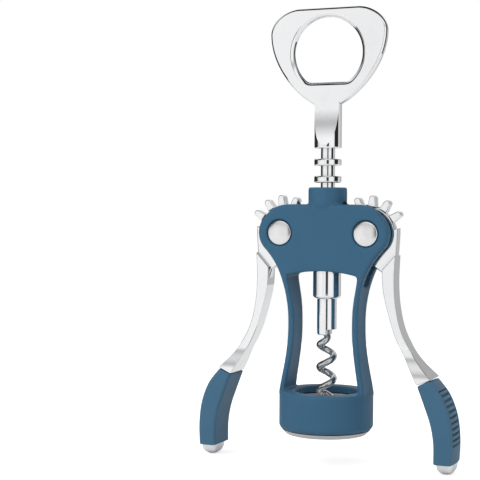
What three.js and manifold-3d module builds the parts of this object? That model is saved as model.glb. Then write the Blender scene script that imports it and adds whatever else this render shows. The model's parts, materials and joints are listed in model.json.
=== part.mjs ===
// Lever corkscrew: a coated cast frame, two geared levers, and a ringed rack that turns
// with the handle and carries the worm.
// Millimetres, +Z up. The bottle's axis is Z, z = 0 is the underside of the bell, and
// the front of the corkscrew faces -Y.
import * as THREE from 'three';
import { mergeVertices } from 'three/addons/utils/BufferGeometryUtils.js';
import Module from 'manifold-3d';

const wasm = await Module();
wasm.setup();

// ---- driving dimensions -------------------------------------------------------------

const gap = 0.3; // between faces of neighbouring pieces
const runGap = 0.2; // radial, between a shaft and the bore that it turns in

// Bell and its insert
const bellR = 20;
const bellTopZ = 18.2;
const bellWall = 2.6;
const bellRoofWall = 3;
const corkHoleR = 13.2;
const insertShow = 2.2; // height of insert that shows under the bell
const insertWall = 1.5;
const insertFootR = 17;
const lipSeatZ = 11.5; // the bottle's lip stops here

// Frame legs and head
const waistZ = 46; // the legs are narrowest here
const waistX = 15.7;
const legWidth = 2.8;
const waistHalfY = 5.8;
const footFlare = 3.5; // how far the legs spread again, down to the bell
const windowTopX = 15.5;
const windowTopZ = 67.6;
const windowArch = 1.5;
const headHalfY = 7.5;
const headTopZ = 97.3;
const lobeR = 9.9;
const collarR = 8.2;
const collarTopZ = 104.5;

// Rack and gear
const pivotX = 19.2;
const pivotZ = 85.2;
const pitchR = 15.9; // the rack moves this far for each radian that a lever turns
const rackPitch = 7.2;
const flangeRise = 4.3; // the rack's flange above the window's top
const ringCount = 6;
const ringPlay = 0.15; // the rings are this much smaller than the stop sleeve
const ringThick = 2.9;
const rackNeckR = 3;
const toothShare = 0.6; // a tooth's width, of the room between two rings
const toothTipGap = 0.2; // between a tooth's tip and the rack's neck
const toothCount = 7;
const hubRootGap = 2.3; // between the gear's root and the rings
const shoulderX = 12.4; // the lever's square shoulder, from the pivot
const shoulderRise = 2.4;
const hubHalfY = 2.4;
const slotSideGap = 0.8; // each side of the hub, with a washer in it
const toothRoom = 1.4; // between the teeth's tips and the slot's floor
const washerThick = 0.4;
const washerR = 6;
const pinR = 3;
const pinHeadR = 5.2;
const pinHeadRise = 0.5;
const recessR = 5.8;
const recessDepth = 1.2;
const seatGap = 0.05; // under a pin's head

// Handle, a bottle opener
const stemRise = 5.9; // above the rack's top ring
const stemLength = 18.7;
const stemR = 5.8;
const openerHalfX = 26;
const openerLength = 40.6;
const openerWideRise = 29.7;
const openerThick = 3.6;
const openerEdge = 0.9; // rounding of the opener's edges
const openerHoleR = 15.1;
const openerHoleRise = 21.5;
const openerChordDrop = 12.1; // the flat that catches the cap, below the hole's centre
const handleSpigot = 6; // rack end inside the stem
const handlePinR = 1;

// Spindle's lower end
const holderR = 4.15;
const holderLength = 28.25;
const sleeveWall = 1.5;
const sleeveLength = 12.75;
const holderSpigotR = 2.5;
const holderSpigot = 12; // rack end inside the holder
const holderPinR = 0.9;
const snapRingThick = 0.7;
const snapRingProud = 0.75; // how far it stands out of the holder
const snapRingRise = 4; // above the sleeve's lower end
const snapGrooveDepth = 0.6;
const wormCoilR = 3;
const wormWireR = 1.45;
const wormPitch = 9.6;
const wormTurns = 4.4;
const wormTipLength = 5.5;
const wormShank = 8; // straight wire inside the holder
const wormPinRise = 6;

// Levers and grips, measured from the pivot
const armHalfY = 4;
const armEndHalfY = 7.4;
const armRootGap = 4.2; // between a head lobe and the thick part of the arm
const armInner = [[6.2, -15], [6.8, -23.5], [8.8, -32.2], [12.4, -43.2], [17.3, -52.6], [22.5, -61.6]];
const armOuter = [[11.9, -8.7], [11.5, -20], [12.3, -30.5], [15, -41], [21, -51.3], [28.2, -59.1]];
const flareLength = 13;
const gripHalfY = 7.7;
const gripEdge = 1.6;
const gripInner = [[22.5, -61.9], [25.6, -70], [28.2, -77.5], [29.5, -85], [29.6, -93.6]];
const gripOuter = [[37.8, -93.6], [38.1, -84], [36.9, -74.5], [33.6, -66], [28.4, -59.4]];
const tangHalfY = 4.6;
const tangWidth = 3.4;
const tipHalfWidth = 2.9;
const tipReach = 4.3; // metal that shows below the grip

const roundSteps = 36;

// ---- derived sizes ------------------------------------------------------------------

const sleeveR = holderR + gap + sleeveWall;
const snapRingR = holderR + snapRingProud;
const boreR = sleeveR + gap;
const ringR = sleeveR - ringPlay;
const toothWidth = toothShare * (rackPitch - ringThick);
const slotHalfY = hubHalfY + slotSideGap;
const toothTipR = pivotX - rackNeckR - toothTipGap;
const hubRootR = pivotX - ringR - hubRootGap;
const slotR = toothTipR + toothRoom;
const waistInnerX = waistX - legWidth;
const footX = waistX + footFlare;
const flangeZ = windowTopZ + flangeRise; // the rack's lowest ring, a flange
const topRingZ = flangeZ + ringCount * rackPitch;
const stemBottomZ = topRingZ + stemRise;
const stemTopZ = stemBottomZ + stemLength;
const openerTopZ = stemTopZ + openerLength;
const openerWideZ = stemTopZ + openerWideRise;
const openerHoleZ = stemTopZ + openerHoleRise;
const flangeBottomZ = flangeZ - ringThick / 2;
const sleeveTopZ = flangeBottomZ - gap;
const sleeveBottomZ = sleeveTopZ - sleeveLength;
const holderBottomZ = sleeveTopZ - holderLength;
const snapRingZ = sleeveBottomZ + snapRingRise;
const spigotBottomZ = flangeBottomZ - holderSpigot;
const spigotTopZ = stemBottomZ + handleSpigot;

// ---- helpers ------------------------------------------------------------------------

// One closed skin: shared corners merged, and a lathe's zero-area pole triangles dropped.
function skin(geometry) {
  const bare = geometry.clone();
  bare.deleteAttribute('normal');
  bare.deleteAttribute('uv');
  const merged = mergeVertices(bare, 1e-4);
  const corners = merged.index.array;
  const kept = [];
  for (let i = 0; i < corners.length; i += 3) {
    const [a, b, c] = [corners[i], corners[i + 1], corners[i + 2]];
    if (a !== b && b !== c && c !== a) kept.push(a, b, c);
  }
  merged.setIndex(kept);
  return merged;
}

function solid(geometry) {
  const closed = skin(geometry);
  return new wasm.Manifold(new wasm.Mesh({
    numProp: 3,
    vertProperties: Float32Array.from(closed.attributes.position.array),
    triVerts: Uint32Array.from(closed.index.array),
  }));
}

function geometryOf(body) {
  const mesh = body.getMesh();
  const geometry = new THREE.BufferGeometry();
  geometry.setAttribute('position', new THREE.BufferAttribute(mesh.vertProperties, 3));
  geometry.setIndex(new THREE.BufferAttribute(mesh.triVerts, 1));
  geometry.computeVertexNormals();
  return geometry;
}

// A round piece from its radius-and-height profile, turned about Z.
function turned(profile, steps = roundSteps) {
  const points = profile.map(([radius, height]) => new THREE.Vector2(radius, height));
  return new THREE.LatheGeometry(points, steps).rotateX(Math.PI / 2);
}

// A flat piece: the outline lies in X and Z, and its thickness is centred on y = 0.
function plate(shape, thickness, edge = 0, curveSegments = 10) {
  const geometry = new THREE.ExtrudeGeometry(shape, {
    depth: thickness - 2 * edge,
    bevelEnabled: edge > 0,
    bevelThickness: edge,
    bevelSize: edge,
    bevelOffset: -edge,
    bevelSegments: 2,
    curveSegments,
  });
  return geometry.rotateX(Math.PI / 2).translate(0, thickness / 2 - edge, 0);
}

// A cylinder along Y, from one y to another.
function crossCylinder(radius, fromY, toY, x, z, steps = roundSteps) {
  return new THREE.CylinderGeometry(radius, radius, toY - fromY, steps)
    .translate(x, (fromY + toY) / 2, z);
}

function block(sizeX, sizeY, sizeZ, x, y, z) {
  return new THREE.BoxGeometry(sizeX, sizeY, sizeZ).translate(x, y, z);
}

function vectors(points) {
  return points.map(([x, z]) => new THREE.Vector2(x, z));
}

// A smooth line through a few points, as a run of short straight ones.
function smooth(points, steps) {
  return new THREE.SplineCurve(vectors(points)).getPoints(steps);
}

// The same right-hand outline on both sides of x = 0, as one closed shape.
function mirroredShape(rightHalf) {
  const right = rightHalf.getPoints(10);
  const left = right.filter((point) => point.x > 1e-6)
    .map((point) => new THREE.Vector2(-point.x, point.y)).reverse();
  return new THREE.Shape([...right, ...left]);
}

// ---- materials ----------------------------------------------------------------------

function finish(color, roughness, metalness) {
  return new THREE.MeshStandardMaterial({ color, roughness, metalness });
}

const blueCoat = finish(0x2f5f80, 0.55, 0);
const chrome = finish(0xd8dbe0, 0.1, 1);
const steel = finish(0xa9adb3, 0.3, 1);
const greyPlastic = finish(0xb9bcc0, 0.5, 0);
const blueRubber = finish(0x35688a, 0.7, 0);

const corkscrew = new THREE.Group();

function add(name, geometry, material, parent = corkscrew) {
  const mesh = new THREE.Mesh(geometry, material);
  mesh.name = name;
  parent.add(mesh);
  return mesh;
}

// ---- frame: head, legs and bell in one casting --------------------------------------

function frameOutline() {
  const half = new THREE.Path();
  const lowAngle = THREE.MathUtils.degToRad(-48);
  const highAngle = THREE.MathUtils.degToRad(52);
  const startX = pivotX + lobeR * Math.cos(lowAngle);
  const startZ = pivotZ + lobeR * Math.sin(lowAngle);
  half.moveTo(0, bellTopZ - bellRoofWall / 2);
  half.lineTo(footX, bellTopZ - bellRoofWall / 2);
  half.bezierCurveTo(footX - 0.5, bellTopZ + 4, waistX, waistZ - 14, waistX, waistZ);
  half.bezierCurveTo(waistX - 0.2, waistZ + 15, startX - 7.4, startZ - 7.8, startX, startZ);
  half.absarc(pivotX, pivotZ, lobeR, lowAngle, highAngle);
  half.quadraticCurveTo(pivotX + 3.4, headTopZ - 0.3, pivotX - 4, headTopZ);
  half.lineTo(0, headTopZ);
  return mirroredShape(half);
}

// Seen from the side the legs are narrowest at the waist too.
function frameSide() {
  const half = new THREE.Path();
  const footHalfY = waistHalfY + 1.4;
  half.moveTo(0, 0);
  half.lineTo(footHalfY, 0);
  half.lineTo(footHalfY, bellTopZ);
  half.bezierCurveTo(waistHalfY + 0.6, bellTopZ + 8, waistHalfY, waistZ - 10, waistHalfY, waistZ);
  half.bezierCurveTo(waistHalfY, waistZ + 12, headHalfY, windowTopZ - 9, headHalfY, windowTopZ);
  half.lineTo(headHalfY, headTopZ + 1);
  half.lineTo(0, headTopZ + 1);
  return mirroredShape(half);
}

function windowShape() {
  const footInnerX = waistInnerX + footFlare;
  const half = new THREE.Path();
  half.moveTo(0, 0);
  half.lineTo(footInnerX, 0);
  half.lineTo(footInnerX, bellTopZ);
  half.bezierCurveTo(footInnerX - 0.5, bellTopZ + 7, waistInnerX, waistZ - 12, waistInnerX, waistZ);
  half.bezierCurveTo(waistInnerX, waistZ + 10, windowTopX - 0.8, windowTopZ - 8,
    windowTopX, windowTopZ - 2);
  half.quadraticCurveTo(windowTopX + 0.2, windowTopZ - 0.2, windowTopX - 2, windowTopZ);
  half.quadraticCurveTo(windowTopX / 3, windowTopZ + windowArch, 0, windowTopZ + windowArch);
  return mirroredShape(half);
}

// The slot that one lever's hub turns in: open to the rack, the top and the side.
function leverSlot() {
  const disc = solid(crossCylinder(slotR, -slotHalfY, slotHalfY, pivotX, pivotZ));
  const sideX = waistX + 0.4;
  const sideBottomZ = windowTopZ - 4.6;
  const side = solid(block(bellR, 2 * slotHalfY, pivotZ - sideBottomZ,
    sideX + bellR / 2, 0, (pivotZ + sideBottomZ) / 2));
  return disc.add(side);
}

function frameCasting() {
  const width = 2 * (pivotX + lobeR) + 2;
  const side = plate(frameSide(), width).rotateZ(Math.PI / 2);
  let body = solid(plate(frameOutline(), 2 * headHalfY + 4)).intersect(solid(side));
  body = body.subtract(solid(plate(windowShape(), 4 * headHalfY)));
  const bell = turned([
    [0, insertShow + 0.4], [bellR - 2, insertShow], [bellR - 0.5, insertShow + 0.7],
    [bellR, insertShow + 2.2], [bellR, bellTopZ - 0.9], [bellR - 0.3, bellTopZ - 0.3],
    [bellR - 0.9, bellTopZ], [0, bellTopZ],
  ], 48);
  const collar = turned([
    [0, headTopZ - 14], [headHalfY - 0.3, headTopZ - 14], [headHalfY - 0.3, headTopZ - 2.5],
    [collarR, headTopZ],
    [collarR, collarTopZ - 0.7], [collarR - 0.7, collarTopZ], [0, collarTopZ],
  ]);
  body = body.add(solid(bell)).add(solid(collar));
  const cavity = turned([
    [0, -1], [bellR - bellWall, -1], [bellR - bellWall, bellTopZ - bellRoofWall],
    [0, bellTopZ - bellRoofWall],
  ], 48);
  const corkHole = turned([
    [0, bellTopZ - bellRoofWall - 1], [corkHoleR, bellTopZ - bellRoofWall - 1],
    [corkHoleR, bellTopZ - 0.8], [corkHoleR + 0.8, bellTopZ], [corkHoleR + 0.8, bellTopZ + 0.1],
    [0, bellTopZ + 0.1],
  ], 48);
  const bore = turned([
    [0, windowTopZ - 4], [boreR, windowTopZ - 4], [boreR, collarTopZ + 1], [0, collarTopZ + 1],
  ]);
  body = body.subtract(solid(cavity)).subtract(solid(corkHole)).subtract(solid(bore));
  const slot = leverSlot();
  body = body.subtract(slot).subtract(slot.rotate([0, 0, 180]));
  for (const side of [-1, 1]) {
    const x = side * pivotX;
    const far = headHalfY + 1;
    body = body.subtract(solid(crossCylinder(pinR + runGap, -far, far, x, pivotZ, 24)));
    for (const y of [-far, headHalfY - recessDepth]) {
      const end = y < 0 ? -headHalfY + recessDepth : far;
      body = body.subtract(solid(crossCylinder(recessR, y, end, x, pivotZ)));
    }
  }
  return geometryOf(body);
}
add('frame_casting', frameCasting(), blueCoat);

// ---- bell insert: its foot shows, and its shelf takes the bottle's lip ---------------

const insertR = bellR - bellWall - gap;
const insertTopZ = bellTopZ - bellRoofWall - gap;
add('bell_insert', turned([
  [insertFootR - insertWall, 0], [insertFootR, 0], [bellR - 1, insertShow - gap],
  [insertR, insertShow - gap], [insertR, insertTopZ], [corkHoleR + gap, insertTopZ],
  [corkHoleR + gap, lipSeatZ], [insertR - insertWall, lipSeatZ],
  [insertR - insertWall, insertShow], [insertFootR - insertWall, 0],
], 48), greyPlastic);

// ---- handle with its opener, on a round stem ----------------------------------------

function openerOutline() {
  const half = new THREE.Path();
  half.moveTo(0, stemTopZ - 4);
  half.lineTo(stemR - 0.4, stemTopZ - 4);
  half.lineTo(stemR - 0.4, stemTopZ - 0.5);
  half.bezierCurveTo(stemR + 8, stemTopZ + 3.6, openerHalfX - 0.4, openerWideZ - 14,
    openerHalfX, openerWideZ);
  half.bezierCurveTo(openerHalfX + 0.2, openerWideZ + 5.2, openerHalfX - 5.4, openerTopZ - 0.4,
    openerHalfX - 12.5, openerTopZ);
  half.lineTo(0, openerTopZ + 0.3);
  const shape = mirroredShape(half);
  const chordAngle = Math.asin(openerChordDrop / openerHoleR);
  const hole = new THREE.Path();
  hole.absarc(0, openerHoleZ, openerHoleR, -chordAngle + 0.12, Math.PI + chordAngle - 0.12);
  hole.lineTo(-openerHoleR * Math.cos(chordAngle) + 1.4, openerHoleZ - openerChordDrop);
  hole.lineTo(openerHoleR * Math.cos(chordAngle) - 1.4, openerHoleZ - openerChordDrop);
  hole.closePath();
  shape.holes.push(hole);
  return shape;
}

function openerHandle() {
  const stem = turned([
    [0, stemBottomZ], [stemR - 0.5, stemBottomZ], [stemR, stemBottomZ + 0.5],
    [stemR, stemTopZ + 3], [0, stemTopZ + 3],
  ]);
  let body = solid(stem);
  // Two long scoops thin the stem down to the plate.
  const scoopTopZ = stemTopZ + 4;
  const scoopRise = scoopTopZ - (stemBottomZ + 1);
  const scoopIn = stemR - openerThick / 2;
  const scoopR = (scoopRise * scoopRise + scoopIn * scoopIn) / (2 * scoopIn);
  for (const side of [-1, 1]) {
    const scoop = new THREE.CylinderGeometry(scoopR, scoopR, 4 * stemR, 120)
      .rotateZ(Math.PI / 2).translate(0, side * (openerThick / 2 + scoopR), scoopTopZ);
    body = body.subtract(solid(scoop));
  }
  body = body.add(solid(plate(openerOutline(), openerThick, openerEdge, 16)));
  const socket = turned([
    [0, stemBottomZ - 1], [rackNeckR + gap, stemBottomZ - 1],
    [rackNeckR + gap, spigotTopZ + gap], [0, spigotTopZ + gap],
  ], 24);
  const pinHole = crossCylinder(handlePinR + gap, -rackNeckR - 0.8, stemR + 1,
    0, stemBottomZ + handleSpigot / 2, 12);
  return geometryOf(body.subtract(solid(socket)).subtract(solid(pinHole)));
}
add('opener_handle', openerHandle(), chrome);

// ---- rack: rings at an even pitch, so that it meshes whichever way it is turned -------

function rackSpindle() {
  const edge = 0.6;
  const profile = [
    [0, spigotBottomZ], [holderSpigotR, spigotBottomZ], [holderSpigotR, flangeBottomZ],
  ];
  for (let i = ringCount; i >= 0; i -= 1) {
    const z = topRingZ - i * rackPitch;
    if (i < ringCount) profile.push([rackNeckR, z - ringThick / 2]);
    profile.push([ringR - edge, z - ringThick / 2], [ringR, z - ringThick / 2 + edge],
      [ringR, z + ringThick / 2 - edge], [ringR - edge, z + ringThick / 2],
      [rackNeckR, z + ringThick / 2]);
  }
  profile.push([rackNeckR, spigotTopZ], [0, spigotTopZ]);
  const body = solid(turned(profile, 24));
  const upperHole = crossCylinder(handlePinR + gap, -2 * rackNeckR, 2 * rackNeckR,
    0, stemBottomZ + handleSpigot / 2, 12);
  const lowerHole = crossCylinder(holderPinR + gap, -2 * rackNeckR, 2 * rackNeckR,
    0, spigotBottomZ + holderSpigot / 2, 12);
  return geometryOf(body.subtract(solid(upperHole)).subtract(solid(lowerHole)));
}
add('rack_spindle', rackSpindle(), chrome);
add('handle_pin', crossCylinder(handlePinR, -rackNeckR - 0.4, stemR - 1,
  0, stemBottomZ + handleSpigot / 2, 12), steel);

// ---- stop sleeve: loose on the holder, it limits the rack's upward travel -------------

function stopSleeve() {
  const boreWall = holderR + gap;
  const grooveR = snapRingR + gap;
  const grooveHalf = snapRingThick / 2 + gap;
  return turned([
    [boreWall, sleeveBottomZ], [sleeveR - 1.3, sleeveBottomZ],
    [sleeveR - 0.35, sleeveBottomZ + 0.5], [sleeveR, sleeveBottomZ + 1.6],
    [sleeveR, sleeveTopZ], [boreWall, sleeveTopZ],
    [boreWall, snapRingZ + grooveHalf], [grooveR, snapRingZ + grooveHalf],
    [grooveR, snapRingZ - grooveHalf], [boreWall, snapRingZ - grooveHalf],
    [boreWall, sleeveBottomZ],
  ], 32);
}
add('stop_sleeve', stopSleeve(), chrome);

function wormHolder() {
  const grooveHalf = snapRingThick / 2 + gap;
  const grooveR = holderR - snapGrooveDepth;
  let body = solid(turned([
    [0, holderBottomZ], [holderR - 0.4, holderBottomZ], [holderR, holderBottomZ + 0.4],
    [holderR, snapRingZ - grooveHalf], [grooveR, snapRingZ - grooveHalf],
    [grooveR, snapRingZ + grooveHalf], [holderR, snapRingZ + grooveHalf],
    [holderR, sleeveTopZ], [0, sleeveTopZ],
  ], 32));
  const socket = turned([
    [0, spigotBottomZ - gap], [holderSpigotR + gap, spigotBottomZ - gap],
    [holderSpigotR + gap, sleeveTopZ + 1], [0, sleeveTopZ + 1],
  ], 24);
  const wormSocket = turned([
    [0, holderBottomZ - 1], [wormWireR + gap, holderBottomZ - 1],
    [wormWireR + gap, holderBottomZ + wormShank + gap], [0, holderBottomZ + wormShank + gap],
  ], 16);
  // The mouth is cut away on one side, where the wire sweeps out to its coil.
  const mouth = block(2 * holderR, 3 * holderR, 5.2, holderR + 0.6, 0, holderBottomZ);
  const crossHole = crossCylinder(holderPinR + gap, -2 * holderR, 2 * holderR,
    0, spigotBottomZ + holderSpigot / 2, 12);
  const wormHole = crossCylinder(holderPinR + gap, wormWireR, 2 * holderR,
    0, holderBottomZ + wormPinRise, 12);
  for (const cut of [socket, wormSocket, mouth, crossHole, wormHole]) {
    body = body.subtract(solid(cut));
  }
  return geometryOf(body);
}
add('worm_holder', wormHolder(), chrome);
add('holder_pin', crossCylinder(holderPinR, -holderR + 0.3, holderR - 0.3,
  0, spigotBottomZ + holderSpigot / 2, 12), steel);
add('worm_pin', crossCylinder(holderPinR, wormWireR + gap, holderR - 0.1,
  0, holderBottomZ + wormPinRise, 12), steel);

// A split ring that sits half in the holder's groove and half in the sleeve's.
function snapRing() {
  const innerR = holderR - snapGrooveDepth + gap;
  const open = 0.45;
  const shape = new THREE.Shape();
  shape.absarc(0, 0, snapRingR, open, 2 * Math.PI - open);
  shape.absarc(0, 0, innerR, 2 * Math.PI - open, open, true);
  return new THREE.ExtrudeGeometry(shape, {
    depth: snapRingThick, bevelEnabled: false, curveSegments: 14,
  }).translate(0, 0, snapRingZ - snapRingThick / 2);
}
add('snap_ring', snapRing(), steel);

// ---- worm: straight in its holder, then a coil that thins to its point ----------------

class WormCurve extends THREE.Curve {
  constructor(shankTopZ) {
    super();
    this.shankTopZ = shankTopZ;
    this.shankLength = shankTopZ - holderBottomZ;
    this.coilLength = wormPitch * wormTurns;
  }

  getPoint(t, target = new THREE.Vector3()) {
    const drop = t * (this.shankLength + this.coilLength);
    const coil = Math.max(0, drop - this.shankLength);
    const spread = wormCoilR * Math.min(1, coil / (0.45 * wormPitch));
    const angle = 2 * Math.PI * coil / wormPitch;
    return target.set(spread * Math.cos(angle), -spread * Math.sin(angle), this.shankTopZ - drop);
  }
}

function worm() {
  const curve = new WormCurve(holderBottomZ + wormShank);
  const section = new THREE.Shape();
  section.absarc(0, 0, wormWireR, 0, 2 * Math.PI);
  const wire = new THREE.ExtrudeGeometry(section, {
    steps: 84, extrudePath: curve, curveSegments: 4, bevelEnabled: false,
  });
  // The lowest stretch is drawn in to the wire's middle, which makes the point.
  const position = wire.attributes.position;
  const bottomZ = holderBottomZ - curve.coilLength;
  const centre = new THREE.Vector3();
  for (let i = 0; i < position.count; i += 1) {
    const above = position.getZ(i) - bottomZ;
    if (above > wormTipLength) continue;
    const thin = Math.max(0.12, Math.max(0, above) / wormTipLength);
    const drop = curve.shankLength + curve.coilLength - Math.max(0, above);
    curve.getPoint(drop / (curve.shankLength + curve.coilLength), centre);
    position.setXY(i, centre.x + thin * (position.getX(i) - centre.x),
      centre.y + thin * (position.getY(i) - centre.y));
  }
  return wire;
}
add('worm', worm(), steel);

// ---- levers and grips: the left pair is the right pair turned half round --------------

// Angles are measured from straight up, outwards. The gear's teeth sit midway between
// the rack's rings where the two mesh.
function gearTeeth() {
  const meshRingZ = topRingZ - 4 * rackPitch;
  const firstGap = meshRingZ - rackPitch / 2 - pivotZ;
  const teeth = [];
  for (let i = 0; i < toothCount; i += 1) {
    const angle = -Math.PI / 2 + (firstGap + i * rackPitch) / pitchR;
    const shape = new THREE.Shape();
    const half = toothWidth / 2;
    shape.moveTo(-half - 0.35, hubRootR - 1.2);
    shape.lineTo(half + 0.35, hubRootR - 1.2);
    shape.lineTo(half, toothTipR - half);
    shape.absarc(0, toothTipR - half, half, 0, Math.PI);
    teeth.push(solid(plate(shape, 2 * hubHalfY, 0, 4).rotateY(angle)));
  }
  return teeth;
}

function leverHub() {
  const shape = new THREE.Shape();
  shape.moveTo(shoulderX, shoulderRise);
  shape.absarc(0, 0, hubRootR, Math.atan2(shoulderRise, shoulderX), Math.PI * 1.45);
  shape.lineTo(armInner[0][0] - 0.6, armInner[0][1] - 1);
  shape.lineTo(armInner[1][0] + 0.5, armInner[1][1]);
  shape.lineTo(armOuter[1][0] - 0.5, armInner[1][1]);
  shape.closePath();
  return solid(plate(shape, 2 * hubHalfY, 0, 16));
}

function leverArm() {
  const outline = [...smooth(armInner, 14), ...smooth(armOuter, 14).reverse()];
  const arm = solid(plate(new THREE.Shape(outline), 2 * armEndHalfY));
  // Seen from the side the arm is slim, and flares to meet the grip.
  const endZ = armInner[armInner.length - 1][1];
  const half = new THREE.Path();
  half.moveTo(0, endZ - 5);
  half.lineTo(armEndHalfY, endZ - 5);
  half.lineTo(armEndHalfY, endZ + 2);
  half.bezierCurveTo(armEndHalfY - 0.6, endZ + flareLength / 2, armHalfY,
    endZ + flareLength * 0.7, armHalfY, endZ + flareLength + 4);
  half.lineTo(armHalfY, 0);
  half.lineTo(0, 0);
  const width = 2 * armOuter[armOuter.length - 1][0] + 4;
  const side = solid(plate(mirroredShape(half), width).rotateZ(Math.PI / 2));
  const clear = solid(crossCylinder(lobeR + armRootGap, -headHalfY, headHalfY, 0, 0));
  return arm.intersect(side).subtract(clear);
}

// The grip's middle line, which the tang follows.
function gripMiddle() {
  return gripInner.map(([x, z], i) => {
    const [outerX, outerZ] = gripOuter[gripOuter.length - 1 - i];
    return [(x + outerX) / 2, (z + outerZ) / 2];
  });
}

// A band about the middle line, run on at both ends.
function tangShape(halfWidth, rise, drop) {
  const line = smooth(gripMiddle(), 10);
  const edge = (side) => line.map((point) => new THREE.Vector2(point.x + side * halfWidth, point.y));
  const inner = edge(-1);
  const outer = edge(1).reverse();
  inner[0].y += rise;
  outer[outer.length - 1].y += rise;
  inner[inner.length - 1].y -= drop;
  outer[0].y -= drop;
  return new THREE.Shape([...inner, ...outer]);
}

function lever() {
  const middle = gripMiddle();
  const [endX, endZ] = middle[middle.length - 1];
  const tang = solid(plate(tangShape(tangWidth / 2, 3, 1), 2 * tangHalfY));
  const tip = new THREE.Shape();
  tip.moveTo(endX - tipHalfWidth, endZ - gap);
  tip.lineTo(endX - tipHalfWidth, endZ - tipReach + tipHalfWidth * 0.8);
  tip.quadraticCurveTo(endX - tipHalfWidth, endZ - tipReach, endX, endZ - tipReach);
  tip.quadraticCurveTo(endX + tipHalfWidth, endZ - tipReach,
    endX + tipHalfWidth, endZ - tipReach + tipHalfWidth * 0.8);
  tip.lineTo(endX + tipHalfWidth, endZ - gap);
  const tipSolid = solid(plate(tip, 2 * tangHalfY + 0.8, 0.7));
  let body = leverHub();
  for (const tooth of gearTeeth()) body = body.add(tooth);
  body = body.add(leverArm()).add(tang).add(tipSolid);
  return geometryOf(body.subtract(solid(crossCylinder(pinR + runGap, -9, 9, 0, 0, 24))));
}

function grip() {
  const outline = [...smooth(gripInner, 12), ...smooth(gripOuter, 12)];
  const body = solid(plate(new THREE.Shape(outline), 2 * gripHalfY, gripEdge));
  const channel = solid(plate(tangShape(tangWidth / 2 + gap, 4, 6), 2 * (tangHalfY + gap)));
  return geometryOf(body.subtract(channel));
}

for (const [side, turn] of [['right', 0], ['left', Math.PI]]) {
  const group = new THREE.Group();
  const pivot = new THREE.Group();
  group.rotation.z = turn;
  pivot.position.set(pivotX, 0, pivotZ);
  group.add(pivot);
  corkscrew.add(group);
  add(`lever_${side}`, lever(), chrome, pivot);
  add(`grip_${side}`, grip(), blueRubber, pivot);
}

// ---- pivots: a headed pin from the front, a cap at the back, washers by the hub --------

function pivotPin() {
  const headSeat = headHalfY - recessDepth + seatGap;
  const headTop = headHalfY + pinHeadRise;
  return turned([
    [0, seatGap - headSeat], [pinR, seatGap - headSeat], [pinR, headSeat], [pinHeadR, headSeat],
    [pinHeadR, headTop - 0.9], [pinHeadR - 0.6, headTop - 0.4], [pinHeadR / 2, headTop - 0.05],
    [0, headTop],
  ], 24).rotateX(Math.PI / 2);
}

function pivotCap() {
  const seat = headHalfY - recessDepth + seatGap;
  const top = headHalfY + pinHeadRise;
  return turned([
    [0, seat], [pinHeadR, seat], [pinHeadR, top - 0.9], [pinHeadR - 0.6, top - 0.4],
    [pinHeadR / 2, top - 0.05], [0, top],
  ], 24).rotateX(-Math.PI / 2);
}

function washer() {
  return turned([
    [pinR + runGap, -washerThick / 2], [washerR, -washerThick / 2],
    [washerR, washerThick / 2], [pinR + runGap, washerThick / 2],
    [pinR + runGap, -washerThick / 2],
  ], 24).rotateX(Math.PI / 2);
}

for (const [side, x] of [['right', pivotX], ['left', -pivotX]]) {
  const pivot = new THREE.Group();
  pivot.position.set(x, 0, pivotZ);
  corkscrew.add(pivot);
  add(`pivot_pin_${side}`, pivotPin(), chrome, pivot);
  add(`pivot_cap_${side}`, pivotCap(), chrome, pivot);
  for (const [face, y] of [['front', -1], ['back', 1]]) {
    const mesh = add(`washer_${side}_${face}`, washer(), steel, pivot);
    mesh.position.y = y * (hubHalfY + slotSideGap / 2);
  }
}

export default corkscrew;
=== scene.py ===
# %% [markdown]
# # A lever corkscrew
# The CAD model gives every size, joint and place. This script keeps that frame and builds
# the fine surfaces around it: a coated cast frame, polished levers, ribbed grips, a rack
# that turns with its opener handle, and the worm.

import json
import math

import bmesh
import bpy
from mathutils import Matrix, Vector

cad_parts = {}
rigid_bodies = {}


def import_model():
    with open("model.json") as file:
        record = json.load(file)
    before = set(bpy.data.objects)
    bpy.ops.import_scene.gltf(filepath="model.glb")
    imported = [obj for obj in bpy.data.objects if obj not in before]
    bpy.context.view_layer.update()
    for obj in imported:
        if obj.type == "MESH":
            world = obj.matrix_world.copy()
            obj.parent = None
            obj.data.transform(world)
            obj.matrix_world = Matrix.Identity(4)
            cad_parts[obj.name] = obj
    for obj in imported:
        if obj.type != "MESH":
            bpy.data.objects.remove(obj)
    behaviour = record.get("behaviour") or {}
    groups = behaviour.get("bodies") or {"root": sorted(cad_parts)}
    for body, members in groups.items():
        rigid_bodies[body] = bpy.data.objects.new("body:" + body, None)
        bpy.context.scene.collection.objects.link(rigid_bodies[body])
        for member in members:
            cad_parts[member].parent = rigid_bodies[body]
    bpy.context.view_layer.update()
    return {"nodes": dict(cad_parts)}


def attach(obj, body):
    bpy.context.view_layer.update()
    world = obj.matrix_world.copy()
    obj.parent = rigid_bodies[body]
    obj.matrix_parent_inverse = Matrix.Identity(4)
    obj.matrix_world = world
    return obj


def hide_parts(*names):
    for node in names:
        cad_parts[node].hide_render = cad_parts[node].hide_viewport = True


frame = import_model()
nodes = frame["nodes"]
MM = 0.001
print("CAD nodes loaded:", len(nodes))

# %% [markdown]
# ## Tools of the workshop
# Nearly every part of a corkscrew is turned on a lathe, cut from a plate, or forged along a
# bent line. A few helpers copy those ways of working. They take millimetres and leave the
# place of a piece in its mesh, so its object stays at the origin. All of them end in
# make_piece, which merges doubled points, turns the faces outwards and marks sharp edges.


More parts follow.
